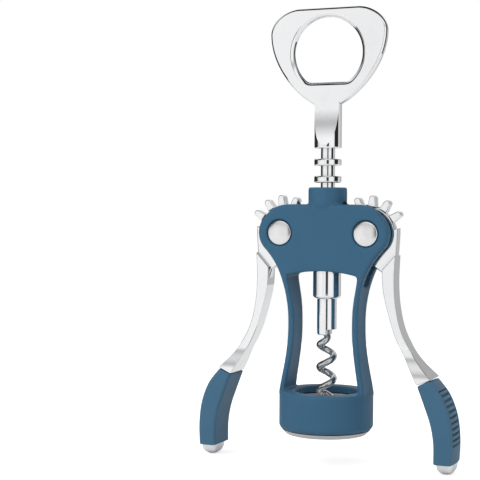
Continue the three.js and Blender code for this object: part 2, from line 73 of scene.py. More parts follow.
# %% From points and faces to a piece
def make_piece(name, points, faces, sharp_angle=35):
    mesh = bpy.data.meshes.new(name)
    mesh.from_pydata([(x * MM, y * MM, z * MM) for x, y, z in points], [], faces)
    shell = bmesh.new()
    shell.from_mesh(mesh)
    bmesh.ops.remove_doubles(shell, verts=shell.verts, dist=2e-7)
    bmesh.ops.dissolve_degenerate(shell, edges=shell.edges, dist=1e-7)
    bmesh.ops.recalc_face_normals(shell, faces=shell.faces)
    shell.to_mesh(mesh)
    shell.free()
    mesh.shade_smooth()
    mesh.set_sharp_from_angle(angle=math.radians(sharp_angle))
    piece = bpy.data.objects.new(name, mesh)
    bpy.context.scene.collection.objects.link(piece)
    return piece


# %% [markdown]
# ### The lathe
# A lathe cuts a profile into a bar that spins. Here the profile is a line of corners, each a
# distance from the axis, a height and a rounding, and the line is spun round Z. Blender has a
# Screw modifier for this, but points made one by one let each corner take its own rounding, and
# let a profile start and end on the axis without leaving doubled points there.


# %% Rounded corners along a line of (a, b, radius)
def rounded_corners(corners, steps=5):
    line = []
    for i, (a, b, radius) in enumerate(corners):
        if radius == 0 or i in (0, len(corners) - 1):
            line.append((a, b))
            continue
        here = Vector((a, b))
        before = Vector(corners[i - 1][:2]) - here
        after = Vector(corners[i + 1][:2]) - here
        reach = radius / math.tan(before.angle(after) / 2)
        reach = min(reach, 0.49 * before.length, 0.49 * after.length)
        start = here + before.normalized() * reach
        end = here + after.normalized() * reach
        for k in range(steps + 1):
            t = k / steps
            line.append(tuple((1 - t) ** 2 * start + 2 * t * (1 - t) * here + t * t * end))
    return line


# %% The lathe: corners are (radius, height, rounding)
def lathed(name, corners, around=96, steps=5):
    points, rows, faces = [], [], []
    for radius, height in rounded_corners(corners, steps):
        first = len(points)
        if radius < 1e-6:
            points.append((0, 0, height))
            rows.append([first] * around)
            continue
        for k in range(around):
            angle = 2 * math.pi * k / around
            points.append((radius * math.cos(angle), radius * math.sin(angle), height))
        rows.append(list(range(first, first + around)))
    for low, high in zip(rows, rows[1:]):
        for k in range(around):
            m = (k + 1) % around
            faces.append(list(dict.fromkeys([low[k], low[m], high[m], high[k]])))
    return make_piece(name, points, faces)


# %% [markdown]
# ### The loft and its lines
# A forging changes its section along its length. A loft copies that: closed rings of points,
# all with the same count, stand one behind the other, and quads join each ring to the next.
# Bézier bends and a spline through a few points give the lines that the rings follow, and
# even spacing keeps the quads regular, so that reflections run smoothly over them.


# %% The loft: a skin over closed rings, shut at both ends
def lofted(name, rings, sharp_angle=35, shut=True):
    count = len(rings[0])
    points = [point for ring in rings for point in ring]
    faces = []
    for i in range(len(rings) - 1):
        for k in range(count):
            m = (k + 1) % count
            low, high = i * count, (i + 1) * count
            faces.append([low + k, low + m, high + m, high + k])
    if shut:
        faces.append(list(range(count)))
        faces.append(list(range(len(points) - count, len(points))))
    return make_piece(name, points, faces, sharp_angle)


# %% Lines: Bézier bends, a spline through points, and even spacing
def bend(start, first, second, end, steps=24):
    a, b, c, d = (Vector(p) for p in (start, first, second, end))
    line = []
    for k in range(steps + 1):
        t = k / steps
        line.append(tuple((1 - t) ** 3 * a + 3 * t * (1 - t) ** 2 * b
                          + 3 * t * t * (1 - t) * c + t ** 3 * d))
    return line


def through(points, t):
    place = t * (len(points) - 1)
    i = min(int(place), len(points) - 2)
    w = place - i
    p0, p1, p2, p3 = (Vector(points[min(max(i + j, 0), len(points) - 1)]) for j in (-1, 0, 1, 2))
    out = (p2 - p0) / 2
    back = (p3 - p1) / 2
    return (p1 + out * w + (3 * (p2 - p1) - 2 * out - back) * w * w
            + (2 * (p1 - p2) + out + back) * w ** 3)


def arc(centre, radius, start, end, steps):
    """Points on a circle, from one angle to the other, in degrees."""
    angles = [math.radians(start + (end - start) * k / steps) for k in range(steps + 1)]
    return [(centre[0] + radius * math.cos(a), centre[1] + radius * math.sin(a)) for a in angles]


def spaced(line, count):
    run = [0.0]
    for a, b in zip(line, line[1:]):
        run.append(run[-1] + math.dist(a, b))
    places, j = [], 0
    for k in range(count):
        goal = run[-1] * k / count
        while run[j + 1] < goal:
            j += 1
        t = (goal - run[j]) / ((run[j + 1] - run[j]) or 1)
        places.append(tuple(p + t * (q - p) for p, q in zip(line[j], line[j + 1])))
    return places


def ease(value, low, high):
    t = min(1, max(0, (value - low) / (high - low)))
    return t * t * (3 - 2 * t)


# %% [markdown]
# ### Plates
# A stamped or forged plate has flat faces and rounded rims. A Bevel modifier rounds every
# edge by the same amount. Here the rows of points round each rim are placed one by one, so the
# rounding can change with height and can lean towards a plain chamfer, which is what draws a
# clear dark line round polished metal.


# %% Plates: one with a hole in it, and one without, both with rounded edges
def edge_rows(loop, half_y, edge, way, steps=4, flat=0.0):
    """Rows round the rim of a plate, back to front. The first and last lie just inside
    the flat faces, so the rim's shading stops there and the faces stay flat. The share
    `flat` draws the round edge towards a plain chamfer."""
    turns = [math.pi / 2 * (k / steps - 1) for k in range(steps + 1)]
    stations = [(-1, turns[0], 0.06)] + [(-1, turn, 0) for turn in turns]
    stations += [(1, -turn, 0) for turn in reversed(turns)] + [(1, math.pi / 2, 0.06)]
    rows = []
    for side, turn, further in stations:
        row = []
        for i, (x, z) in enumerate(loop):
            along = Vector(loop[(i + 1) % len(loop)]) - Vector(loop[i - 1])
            along.normalize()
            radius, share = edge(z), turn / (math.pi / 2)
            cut_in = (1 - flat) * (1 - math.cos(turn)) + flat * abs(share)
            rise = (1 - flat) * math.sin(turn) + flat * share
            inset = way * (radius * cut_in + further)
            y = side * (half_y(z) - radius) + radius * rise
            row.append((x - along.y * inset, y, z + along.x * inset))
        rows.append(row)
    return rows


def ring_plate(name, outer, hole, half_y, outer_edge, hole_edge, steps=4, flat=0.0):
    rows = edge_rows(outer, half_y, outer_edge, 1, steps, flat)
    rows += edge_rows(hole, half_y, hole_edge, -1, steps, flat)[::-1]
    return lofted(name, rows + rows[:1], shut=False)


def full_plate(name, outline, half_y, edge):
    return lofted(name, edge_rows(outline, lambda z: half_y, lambda z: edge, 1, 3, 0.5))


def mirrored(right_half):
    return right_half + [(-x, z) for x, z in reversed(right_half) if x > 1e-6]


# %% [markdown]
# ### Joining and carving
# Castings are added to and cut with exact Booleans. `use_self` lets the exact solver take
# pieces whose own shells overlap. Modifiers are always turned into the mesh at once, because
# a finished piece keeps none.


# %% Joining, carving and evaluating pieces
def evaluated_mesh(piece):
    return bpy.data.meshes.new_from_object(piece.evaluated_get(bpy.context.evaluated_depsgraph_get()))


def settle(piece):
    """The piece's modifiers become its mesh."""
    mesh = evaluated_mesh(piece)
    piece.modifiers.clear()
    piece.data = mesh
    return piece


def discard(*pieces):
    for piece in pieces:
        bpy.data.objects.remove(piece)


def joined(name, *pieces):
    shell = bmesh.new()
    for piece in pieces:
        shell.from_mesh(piece.data)
    mesh = bpy.data.meshes.new(name)
    shell.to_mesh(mesh)
    shell.free()
    discard(*pieces)
    whole = bpy.data.objects.new(name, mesh)
    bpy.context.scene.collection.objects.link(whole)
    return whole


def carved(piece, tool, operation="DIFFERENCE"):
    cut = piece.modifiers.new("cut", "BOOLEAN")
    cut.operation = operation
    cut.solver = "EXACT"
    cut.object = tool
    cut.use_self = True
    settle(piece)
    discard(tool)
    return piece


def moved(piece, matrix):
    piece.data.transform(matrix)
    return piece


def half_turn_copy(piece, name):
    """The left pair of a lever corkscrew is the right pair turned half round."""
    other = bpy.data.objects.new(name, piece.data.copy())
    other.data.transform(Matrix.Rotation(math.pi, 4, "Z"))
    bpy.context.scene.collection.objects.link(other)
    return other


# %% [markdown]
# ## Finishes
# The frame wears a soft-touch lacquer, the grips are moulded rubber, and everything that
# moves is polished and plated. What these share, grain, handling marks, painted edge highlights
# and painted corner shade, is built once as shader node groups, and each finish places them with its
# own values.


# %% Small helpers for node trees
def place(tree, kind, inputs=None, **settings):
    node = tree.nodes.new(kind)
    for name, value in settings.items():
        setattr(node, name, value)
    for socket, value in (inputs or {}).items():
        if isinstance(value, bpy.types.NodeSocket):
            tree.links.new(value, node.inputs[socket])
        else:
            node.inputs[socket].default_value = value
    return node


def calc(tree, operation, *values, clamp=False):
    node = place(tree, "ShaderNodeMath", dict(enumerate(values)), operation=operation)
    node.use_clamp = clamp
    return node.outputs[0]


def new_group(name, sizes, results):
    tree = bpy.data.node_groups.new(name, "ShaderNodeTree")
    for label, value in sizes.items():
        socket = tree.interface.new_socket(label, in_out="INPUT", socket_type="NodeSocketFloat")
        socket.default_value = value
    for label in results:
        tree.interface.new_socket(label, in_out="OUTPUT", socket_type="NodeSocketFloat")
    return tree, tree.nodes.new("NodeGroupInput").outputs, tree.nodes.new("NodeGroupOutput").inputs


# %% [markdown]
# ### Shared effects
# No real surface is even. Grain breaks up the reflections, clouds shift the colour a little,
# and hairlines and smudges come from use. Edges get a painted highlight and corners painted
# shade. Each effect is a group with named inputs, so lacquer, rubber and metal can all take it at their
# own size.


# %% Grain: a fine even texture and a slow cloudy change
grain_group, size, result = new_group("surface_grain", {"Fine": 2500.0, "Slow": 60.0},
                                      ["Grain", "Clouds"])
place_in = place(grain_group, "ShaderNodeTexCoord").outputs["Object"]
fine = place(grain_group, "ShaderNodeTexNoise",
             {"Vector": place_in, "Scale": size["Fine"], "Detail": 3.0, "Roughness": 0.6})
slow = place(grain_group, "ShaderNodeTexNoise",
             {"Vector": place_in, "Scale": size["Slow"], "Detail": 4.0, "Roughness": 0.55})
grain_group.links.new(fine.outputs["Fac"], result["Grain"])
grain_group.links.new(slow.outputs["Fac"], result["Clouds"])

# %% Handling marks: hairline scratches, and smudges left by fingers
marks_group, size, result = new_group("handling_marks", {"Scratch Scale": 900.0,
                                                         "Smudge Scale": 110.0},
                                      ["Scratches", "Smudges"])
place_in = place(marks_group, "ShaderNodeTexCoord").outputs["Object"]
lines = []
for tilt, stretch in ((0.5, 0.04), (-0.9, 0.05)):
    laid = place(marks_group, "ShaderNodeMapping",
                 {"Vector": place_in, "Rotation": (tilt, 0.7 * tilt, tilt),
                  "Scale": (1.0, stretch, stretch)})
    streak = place(marks_group, "ShaderNodeTexNoise",
                   {"Vector": laid.outputs[0], "Scale": size["Scratch Scale"], "Detail": 1.0})
    lines.append(calc(marks_group, "MULTIPLY",
                      calc(marks_group, "SUBTRACT", streak.outputs["Fac"], 0.68), 8.0, clamp=True))
marks_group.links.new(calc(marks_group, "MAXIMUM", *lines), result["Scratches"])
smear = place(marks_group, "ShaderNodeTexNoise",
              {"Vector": place_in, "Scale": size["Smudge Scale"], "Detail": 5.0,
               "Roughness": 0.7, "Distortion": 0.8})
marks_group.links.new(calc(marks_group, "MULTIPLY",
                           calc(marks_group, "SUBTRACT", smear.outputs["Fac"], 0.5), 3.0,
                           clamp=True), result["Smudges"])

# %% Edges and corners: a painted highlight on sharp edges, and painted shade in corners
painted_light_group, size, result = new_group("painted_edge_light_and_shade", {"Highlight Gain": 6.0, "Reach": 0.003},
                                       ["Edge", "Painted Shade"])
# The edge mask marks where a painted highlight goes: wherever the mesh is sharp, by its pointiness.
sharpness = place(painted_light_group, "ShaderNodeNewGeometry").outputs["Pointiness"]
painted_light_group.links.new(calc(painted_light_group, "MULTIPLY",
                            calc(painted_light_group, "SUBTRACT", sharpness, 0.51), size["Highlight Gain"],
                            clamp=True), result["Edge"])
# The corner mask marks where painted shade goes: wherever ambient occlusion finds walls close by.
occlusion = place(painted_light_group, "ShaderNodeAmbientOcclusion", {"Distance": size["Reach"]}, samples=6)
painted_light_group.links.new(calc(painted_light_group, "SUBTRACT", 1.0, occlusion.outputs["AO"], clamp=True),
                       result["Painted Shade"])
print("shared groups:", [group.name for group in bpy.data.node_groups])


# %% What every finish starts from
def new_finish(name, **shader_values):
    material = bpy.data.materials.new(name)
    material.use_nodes = True
    tree = material.node_tree
    shader = tree.nodes["Principled BSDF"]
    for socket, value in shader_values.items():
        shader.inputs[socket.replace("_", " ")].default_value = value
    return material, tree, shader


def use_group(tree, group, inputs=None):
    node = place(tree, "ShaderNodeGroup", node_tree=group)
    for socket, value in (inputs or {}).items():
        node.inputs[socket].default_value = value
    return node.outputs


def blend_colour(tree, amount, low, high):
    node = place(tree, "ShaderNodeMix", data_type="RGBA")
    for index, value in ((0, amount), (6, low), (7, high)):
        if isinstance(value, bpy.types.NodeSocket):
            tree.links.new(value, node.inputs[index])
        else:
            node.inputs[index].default_value = value
    return node.outputs[2]


def ranged(tree, value, low, high):
    return place(tree, "ShaderNodeMapRange", {"Value": value, "To Min": low, "To Max": high}).outputs[0]


# %% [markdown]
# ### Coated frame and moulded grips
# The lacquer is a mid blue with a fine orange-peel grain. Its edges carry a painted highlight,
# and painted shade darkens it where two walls meet. The rubber of the grips is the same blue with a
# coarser moulded grain and a softer shine.


# %% Blue finishes
def blue_finish(name, deep, light, grain_size, grain_depth, rough_low, rough_high, sheen, highlight_gain):
    material, tree, shader = new_finish(name, Specular_IOR_Level=0.28, Sheen_Weight=sheen,
                                        Sheen_Roughness=0.45)
    grain = use_group(tree, grain_group, {"Fine": grain_size, "Slow": 45.0})
    corners = use_group(tree, painted_light_group, {"Highlight Gain": highlight_gain, "Reach": 0.004})
    marks = use_group(tree, marks_group, {"Smudge Scale": 70.0})
    colour = blend_colour(tree, grain["Clouds"], deep, light)
    # Painted highlight: sharp edges are lightened towards a paler blue.
    painted_highlight_blue = tuple(min(1, 1.5 * channel + 0.02) for channel in light[:3]) + (1,)
    colour = blend_colour(tree, calc(tree, "MULTIPLY", corners["Edge"], 0.6), colour, painted_highlight_blue)
    # Painted shade: the blue darkens where walls stand close together.
    painted_shade_blue = tuple(0.35 * channel for channel in deep[:3]) + (1,)
    colour = blend_colour(tree, calc(tree, "MULTIPLY", corners["Painted Shade"], 0.5), colour, painted_shade_blue)
    tree.links.new(colour, shader.inputs["Base Color"])
    rough = calc(tree, "ADD", ranged(tree, grain["Grain"], rough_low, rough_high),
                 calc(tree, "MULTIPLY", marks["Smudges"], 0.08))
    tree.links.new(rough, shader.inputs["Roughness"])
    bump = place(tree, "ShaderNodeBump", {"Strength": 0.35, "Distance": grain_depth * MM,
                                          "Height": grain["Grain"]})
    tree.links.new(bump.outputs[0], shader.inputs["Normal"])
    return material


blue_coat = blue_finish("soft_touch_lacquer", (0.024, 0.088, 0.158, 1), (0.034, 0.108, 0.186, 1),
                        2600.0, 0.05, 0.42, 0.56, 0.02, 5.0)
blue_rubber = blue_finish("moulded_rubber", (0.032, 0.102, 0.172, 1), (0.05, 0.13, 0.208, 1),
                          1900.0, 0.10, 0.46, 0.66, 0.08, 9.0)
print("blue finishes:", blue_coat.name, blue_rubber.name)

# %% [markdown]
# ### Plated and plain metal
# Polished plating is nearly a mirror, and what makes it look real is what spoils the mirror:
# a slow waviness from hand polishing, hairlines, and smudges that dull it. The pins' domed
# heads are plated too, but satin. The worm and the small parts are plain steel, duller and a
# little darker. One function makes all three, with a value for each of these spoilers.


# %% Metal finishes
def metal_finish(name, colour, rough, dull, wave, hairlines):
    material, tree, shader = new_finish(name, Metallic=1.0)
    grain = use_group(tree, grain_group, {"Fine": 1400.0, "Slow": 55.0})
    marks = use_group(tree, marks_group)
    corners = use_group(tree, painted_light_group, {"Reach": 0.002})
    shade = tuple(0.82 * channel for channel in colour[:3]) + (1,)
    tone = blend_colour(tree, calc(tree, "MULTIPLY", marks["Smudges"], 0.35), colour, shade)
    # Painted shade: the metal darkens where ambient occlusion finds walls close by.
    painted_shade_metal = tuple(0.3 * channel for channel in colour[:3]) + (1,)
    tone = blend_colour(tree, calc(tree, "MULTIPLY", corners["Painted Shade"], 0.4), tone, painted_shade_metal)
    tree.links.new(tone, shader.inputs["Base Color"])
    spoiled = calc(tree, "ADD", calc(tree, "MULTIPLY", marks["Smudges"], dull),
                   calc(tree, "MULTIPLY", marks["Scratches"], hairlines))
    tree.links.new(calc(tree, "ADD", spoiled, rough), shader.inputs["Roughness"])
    height = calc(tree, "SUBTRACT", calc(tree, "MULTIPLY", grain["Clouds"], wave),
                  calc(tree, "MULTIPLY", marks["Scratches"], 0.002))
    bump = place(tree, "ShaderNodeBump", {"Strength": 0.5, "Distance": MM, "Height": height})
    tree.links.new(bump.outputs[0], shader.inputs["Normal"])
    return material


chrome = metal_finish("polished_chrome", (0.92, 0.925, 0.935, 1), 0.06, 0.07, 0.08, 0.10)
satin_chrome = metal_finish("satin_plating", (0.84, 0.84, 0.845, 1), 0.24, 0.03, 0.012, 0.06)
turned_steel = metal_finish("turned_steel", (0.60, 0.61, 0.62, 1), 0.22, 0.12, 0.05, 0.15)

# %% [markdown]
# ### Grey plastic
# The insert in the bell is plain moulded plastic. It takes the same grain as the blue parts,
# at its own scale, and painted shade in its corners. Plastic is not metal, so its colour
# lies under a clear, slightly rough surface.

# %% Grey plastic of the insert
grey_plastic, tree, shader = new_finish("grey_plastic", Specular_IOR_Level=0.45)
grain = use_group(tree, grain_group, {"Fine": 2200.0, "Slow": 80.0})
corners = use_group(tree, painted_light_group, {"Reach": 0.003})
tone = blend_colour(tree, grain["Clouds"], (0.42, 0.43, 0.44, 1), (0.52, 0.53, 0.54, 1))
# Painted shade: the grey darkens where walls stand close together.
tone = blend_colour(tree, calc(tree, "MULTIPLY", corners["Painted Shade"], 0.6), tone, (0.1, 0.1, 0.1, 1))
tree.links.new(tone, shader.inputs["Base Color"])
tree.links.new(ranged(tree, grain["Grain"], 0.38, 0.55), shader.inputs["Roughness"])
bump = place(tree, "ShaderNodeBump", {"Strength": 0.3, "Distance": 0.04 * MM, "Height": grain["Grain"]})
tree.links.new(bump.outputs[0], shader.inputs["Normal"])
print("finishes:", [material.name for material in bpy.data.materials if material.use_nodes])

# %% [markdown]
# ### Hanging a piece on its body
# A finished piece needs three things: its material, the body that carries it when the
# corkscrew moves, and the CAD nodes that it stands in for.
# One helper says all three, so that no piece misses one.


# %% Dressing a piece and hanging it on its body
def dress(piece, material, slot_name, body, *replaced):
    piece.data.materials.clear()
    piece.data.materials.append(material)
    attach(piece, body)
    if replaced:
        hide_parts(*replaced)
    piece.data.calc_loop_triangles()
    print(piece.name, "rides on", body, "with", len(piece.data.loop_triangles), "triangles")


# %% [markdown]
# ## Three ways to repeat and follow
# Rings on the rack, teeth on a gear and ribs on a grip are all one shape made again and
# again, and the worm is one wire along one line. Geometry Nodes do this work. Each tree has
# named inputs, ends in Realize Instances and Set Material, and its result becomes a mesh.


# %% A tree with named inputs, and a run of it
def new_tree(name, **sizes):
    tree = bpy.data.node_groups.new(name, "GeometryNodeTree")
    tree.interface.new_socket("Geometry", in_out="OUTPUT", socket_type="NodeSocketGeometry")
    tree.interface.new_socket("Geometry", in_out="INPUT", socket_type="NodeSocketGeometry")
    for label, kind in sizes.items():
        tree.interface.new_socket(label, in_out="INPUT", socket_type="NodeSocket" + kind)
    return tree, tree.nodes.new("NodeGroupInput").outputs


def end_tree(tree, geometry, material):
    real = place(tree, "GeometryNodeRealizeInstances", {"Geometry": geometry})
    painted = place(tree, "GeometryNodeSetMaterial",
                    {"Geometry": real.outputs[0], "Material": material})
    tree.links.new(painted.outputs[0], tree.nodes.new("NodeGroupOutput").inputs[0])


def grown(name, tree, line=(), shares=(), **values):
    mesh = bpy.data.meshes.new(name)
    mesh.from_pydata([Vector(p) * MM for p in line], [(i, i + 1) for i in range(len(line) - 1)], [])
    if shares:
        mesh.attributes.new("share", "FLOAT", "POINT").data.foreach_set("value", shares)
    piece = bpy.data.objects.new(name, mesh)
    bpy.context.scene.collection.objects.link(piece)
    grow = piece.modifiers.new("grow", "NODES")
    grow.node_group = tree
    for item in tree.interface.items_tree:
        if item.in_out == "INPUT" and item.name in values:
            grow[item.identifier] = values[item.name]
    return settle(piece)


# %% Repeat in steps: each copy is moved and turned on from the last
steps_tree, size = new_tree("repeat_in_steps", Shape="Object", Count="Int", Start="Vector",
                            Step="Vector", StartTurn="Float", StepTurn="Float",
                            Material="Material")
row = place(steps_tree, "GeometryNodeMeshLine", {"Count": size["Count"],
                                                "Start Location": size["Start"],
                                                "Offset": size["Step"]})
number = place(steps_tree, "GeometryNodeInputIndex").outputs[0]
turn = calc(steps_tree, "ADD", calc(steps_tree, "MULTIPLY", number, size["StepTurn"]),
            size["StartTurn"])
facing = place(steps_tree, "FunctionNodeEulerToRotation",
               {"Euler": place(steps_tree, "ShaderNodeCombineXYZ", {"Y": turn}).outputs[0]})
shape = place(steps_tree, "GeometryNodeObjectInfo", {"Object": size["Shape"]})
copies = place(steps_tree, "GeometryNodeInstanceOnPoints",
               {"Points": row.outputs[0], "Instance": shape.outputs["Geometry"],
                "Rotation": facing.outputs[0]})
end_tree(steps_tree, copies.outputs[0], size["Material"])

# %% Repeat along a line: copies at even spacing, each facing along it
line_tree, size = new_tree("repeat_along_line", Shape="Object", Count="Int", Material="Material")
curve = place(line_tree, "GeometryNodeMeshToCurve", {"Mesh": size["Geometry"]})
stations = place(line_tree, "GeometryNodeResampleCurve",
                 {"Curve": curve.outputs[0], "Count": size["Count"]})
facing = place(line_tree, "FunctionNodeAlignRotationToVector",
               {"Vector": place(line_tree, "GeometryNodeInputTangent").outputs[0]},
               axis="Z", pivot_axis="Y")
shape = place(line_tree, "GeometryNodeObjectInfo", {"Object": size["Shape"]})
copies = place(line_tree, "GeometryNodeInstanceOnPoints",
               {"Points": stations.outputs[0], "Instance": shape.outputs["Geometry"],
                "Rotation": facing.outputs[0]})
end_tree(line_tree, copies.outputs[0], size["Material"])

# %% Wire along a line: a round section, scaled by the line's own thickness
wire_tree, size = new_tree("wire_along_line", Radius="Float", Sides="Int", Material="Material")
curve = place(wire_tree, "GeometryNodeMeshToCurve", {"Mesh": size["Geometry"]})
section = place(wire_tree, "GeometryNodeCurvePrimitiveCircle",
                {"Resolution": size["Sides"], "Radius": size["Radius"]})
share = place(wire_tree, "GeometryNodeInputNamedAttribute", {"Name": "share"})
sweep = place(wire_tree, "GeometryNodeCurveToMesh",
              {"Curve": curve.outputs[0], "Profile Curve": section.outputs[0],
               "Scale": share.outputs[0], "Fill Caps": True})
end_tree(wire_tree, sweep.outputs[0], size["Material"])
print("trees:", steps_tree.name, line_tree.name, wire_tree.name)

# %% [markdown]
# ## The frame
# The head, two legs and bell are one zinc casting under a soft lacquer. It starts as a ring
# plate: the outline outside, the window inside, thinner at the waist, with rounder edges on
# the head than on the legs. Bell and collar are turned and added, and the bore, the lever
# slots and the pin seats are cut. A voxel remesh then melts all of it into one skin with
# small soft edges, as a casting has, and a light smoothing clears the voxels' steps.

# %% Outlines of the casting
pivot_x, pivot_z, lobe_r = 19.2, 85.2, 9.9
head_top = 97.3
lobe_line = arc((pivot_x, pivot_z), lobe_r, -48, 52, 40)
lobe_x, lobe_z = lobe_line[0]
leg_outside = (bend((19.2, 16.7), (18.7, 22.2), (15.7, 32), (15.7, 46))
               + bend((15.7, 46), (15.5, 61), (lobe_x - 7.4, lobe_z - 7.8), (lobe_x, lobe_z))[1:])
shoulder = bend(lobe_line[-1], (23.2, 95.6), (20.4, 97.2), (15.2, head_top))
head_outside = lobe_line + shoulder[1:] + [(0, head_top)]
outer_loop = mirrored(spaced([(0, 16.7), (19.2, 16.7)], 12) + spaced(leg_outside, 56)
                      + spaced(head_outside, 70) + [(0, head_top)])
leg_inside = (bend((16.4, 17.4), (15.9, 25.2), (12.9, 34), (12.9, 46))
              + bend((12.9, 46), (12.9, 56), (14.7, 59.6), (15.5, 65.6))[1:])
arch = bend((15.5, 65.6), (15.7, 67.2), (15.1, 67.5), (13.5, 67.7)) + bend(
    (13.5, 67.7), (9, 68.8), (4, 69.1), (0, 69.1))[1:]
window_loop = mirrored(spaced([(0, 17.4), (16.4, 17.4)], 12) + spaced(leg_inside, 56)
                       + spaced(arch, 70) + [(0, 69.1)])
print("outline and window have", len(outer_loop), "and", len(window_loop), "points")


# %% Thickness and edge rounding change with height
def frame_half_y(z):
    """Half the thickness: 7.2 at the bell, 5.8 at the waist and 7.5 at the head."""
    return 5.8 + 1.4 * (1 - ease(z, 18, 44)) + 1.7 * ease(z, 47, 67.6)


def frame_edge(z):
    """The outer edges' rounding: 0.9 on the legs and 1.7 on the head."""
    return 0.9 + 0.8 * ease(z, 62, 78)


window_edge = 0.7
casting = ring_plate("frame_lacquered", outer_loop, window_loop, frame_half_y, frame_edge,
                     lambda z: window_edge)

# %% [markdown]
# ### Round parts of the casting
# The bell and the collar are round, so the lathe makes them as solids, and a Boolean union
# adds them. The collar starts deep inside the head and only swells above it, so the two
# blend where they meet.

# %% Bell and collar are added
AROUND = 144
bell = lathed("bell", [(0, 2.2, 0), (19.2, 2.2, 0.4), (20, 3.6, 1.0), (20, 18.2, 1.1), (0, 18.2, 0)],
              AROUND)
collar = lathed("collar", [(0, 83, 0), (7.2, 83, 0), (7.2, 94.8, 0.5), (8.2, 97.2, 0.5),
                           (8.2, 104.5, 0.8), (0, 104.5, 0)])
carved(casting, joined("turned_parts", bell, collar), "UNION")
print("casting with bell and collar:", len(casting.data.polygons), "faces")

# %% [markdown]
# ### Room for the moving parts
# The inside is one long stepped bore: the bottle's neck, the cork's way, the sleeve's bore
# and the rack's bore. Two slots, one on each side, let the gears swing, and round seats hold
# the pins' heads. Each is made as the solid that a cutter would remove.

# %% The inside, the slots and the seats are cut
core = lathed("core", [(0, -1, 0), (17.4, -1, 0), (17.4, 15.2, 0.6), (13.2, 15.2, 0.3), (13.2, 17.4, 0),
                       (14.0, 18.3, 0), (14.0, 19.5, 0), (5, 19.5, 0), (5, 63.6, 0), (6.25, 63.6, 0),
                       (6.25, 106, 0), (0, 106, 0)], AROUND)
carved(casting, core)
slot_r, slot_half_y, slot_foot, slot_inner_x = 17.4, 3.2, 63.0, 16.1
slot_line = [(slot_inner_x, slot_foot), (36.1, slot_foot), (36.1, pivot_z)]
slot_line += arc((pivot_x, pivot_z), slot_r, 0, 256, 64) + [(slot_inner_x, 68.1)]
slot_right = full_plate("slot_right", slot_line, slot_half_y, 0.01)
slot_left = half_turn_copy(slot_right, "slot_left")
carved(casting, joined("slots", slot_right, slot_left))
seats = []
for side in (-1, 1):
    seat = lathed("seat", [(0, -9, 0), (5.8, -9, 0), (5.8, -6.3, 0), (3.2, -6.3, 0), (3.2, 6.3, 0),
                           (5.8, 6.3, 0), (5.8, 9, 0), (0, 9, 0)], 72)
    seats.append(moved(seat, Matrix.Translation((side * pivot_x * MM, 0, pivot_z * MM))
                       @ Matrix.Rotation(math.pi / 2, 4, "X")))
carved(casting, joined("seats", *seats))
print("casting before the remesh:", len(casting.data.polygons), "faces")

# %% [markdown]
# ### The lacquer's soft skin
# A cast part has no sharp edges, and lacquer rounds them further. Bevelling every edge of a
# carved mesh is fragile, so the whole casting is remeshed in small cubes and smoothed a
# little. The cube's size sets how soft the edges get.

# %% One soft skin over the casting
melt = casting.modifiers.new("melt", "REMESH")
melt.mode = "VOXEL"
melt.voxel_size = 0.46 * MM
melt.use_smooth_shade = True
soften = casting.modifiers.new("soften", "SMOOTH")
soften.factor = 0.5
soften.iterations = 5
settle(casting)
dress(casting, blue_coat, "blue_coat", "frame", "frame_casting")

# %% [markdown]
# ## Insert in the bell
# A moulded ring lines the bell. Its foot shows as a pale line below the blue, and its shelf
# stops the bottle's lip. It is round, so the lathe makes it.

# %% Bell insert
insert = lathed("bell_liner", [(15.5, 0, 0), (17, 0, 0.5), (19, 1.9, 0.2), (17.1, 1.9, 0),
                               (17.1, 14.9, 0.3), (13.5, 14.9, 0.3), (13.5, 11.5, 0.3),
                               (15.6, 11.5, 0.3), (15.6, 2.2, 0), (15.5, 0, 0)], AROUND)
dress(insert, grey_plastic, "grey_plastic", "frame", "bell_insert")

# %% [markdown]
# ## Opener handle
# The handle is a drop-forged plate with a bottle opener's hole, flowing into a round stem.
# The plate is a ring plate again, with a wide soft edge round the hole. The stem is a loft:
# each section is a circle cut by two flats, and the flats close in towards the plate, which
# draws the long pointed facet on the stem's front.

# %% Plate of the opener
hole_z, hole_r = 161.2, 15.1
flank = (bend((5.4, 139.2), (13.8, 143.3), (25.6, 155.4), (26, 169.4))
         + bend((26, 169.4), (26.2, 174.6), (20.6, 179.9), (13.5, 180.3))[1:])
plate_foot = bend((0, 136.0), (2.4, 136.0), (3.6, 138.3), (5.4, 139.2))
handle_loop = mirrored(spaced(plate_foot, 16) + spaced(flank, 80)
                       + spaced([(13.5, 180.3), (0, 180.3)], 24) + [(0, 180.3)])
hole_side = arc((0, hole_z), hole_r, -46.4, 58, 48)
hole_top = arc((0, hole_z), hole_r, 58, 90, 48)
chord = [(0, 149.1), (7.2, 149.1)] + bend((7.2, 149.1), (8.8, 149.1), (9.6, 149.5), hole_side[0])[1:]
hole_loop = mirrored(spaced(chord, 16) + spaced(hole_side, 80) + spaced(hole_top, 24)
                     + [(0, hole_z + hole_r)])
plate_half_y, plate_edge, hole_edge, chamfer_share = 1.8, 1.0, 1.7, 0.68
handle_plate = ring_plate("handle_plate", handle_loop, hole_loop, lambda z: plate_half_y,
                          lambda z: plate_edge, lambda z: hole_edge, 6, chamfer_share)
print("opener outline and hole have", len(handle_loop), "and", len(hole_loop), "points")

# %% [markdown]
# ### Stem
# The stem is a round bar with a long scoop on its front and back, which thins it to the
# plate's thickness. It could be cut with a Boolean, but a loft gives the scoop's edge its own
# row of points, so the edge stays clean where the polish shows every dent.

# %% Stem of the opener
stem_r, scoop_top, scoop_foot = 5.8, 143.7, 122.0
ROUND_POINTS, FLAT_POINTS, STEM_ROWS = 28, 12, 60
scoop_in = stem_r - plate_half_y
scoop_r = ((scoop_top - scoop_foot) ** 2 + scoop_in ** 2) / (2 * scoop_in)


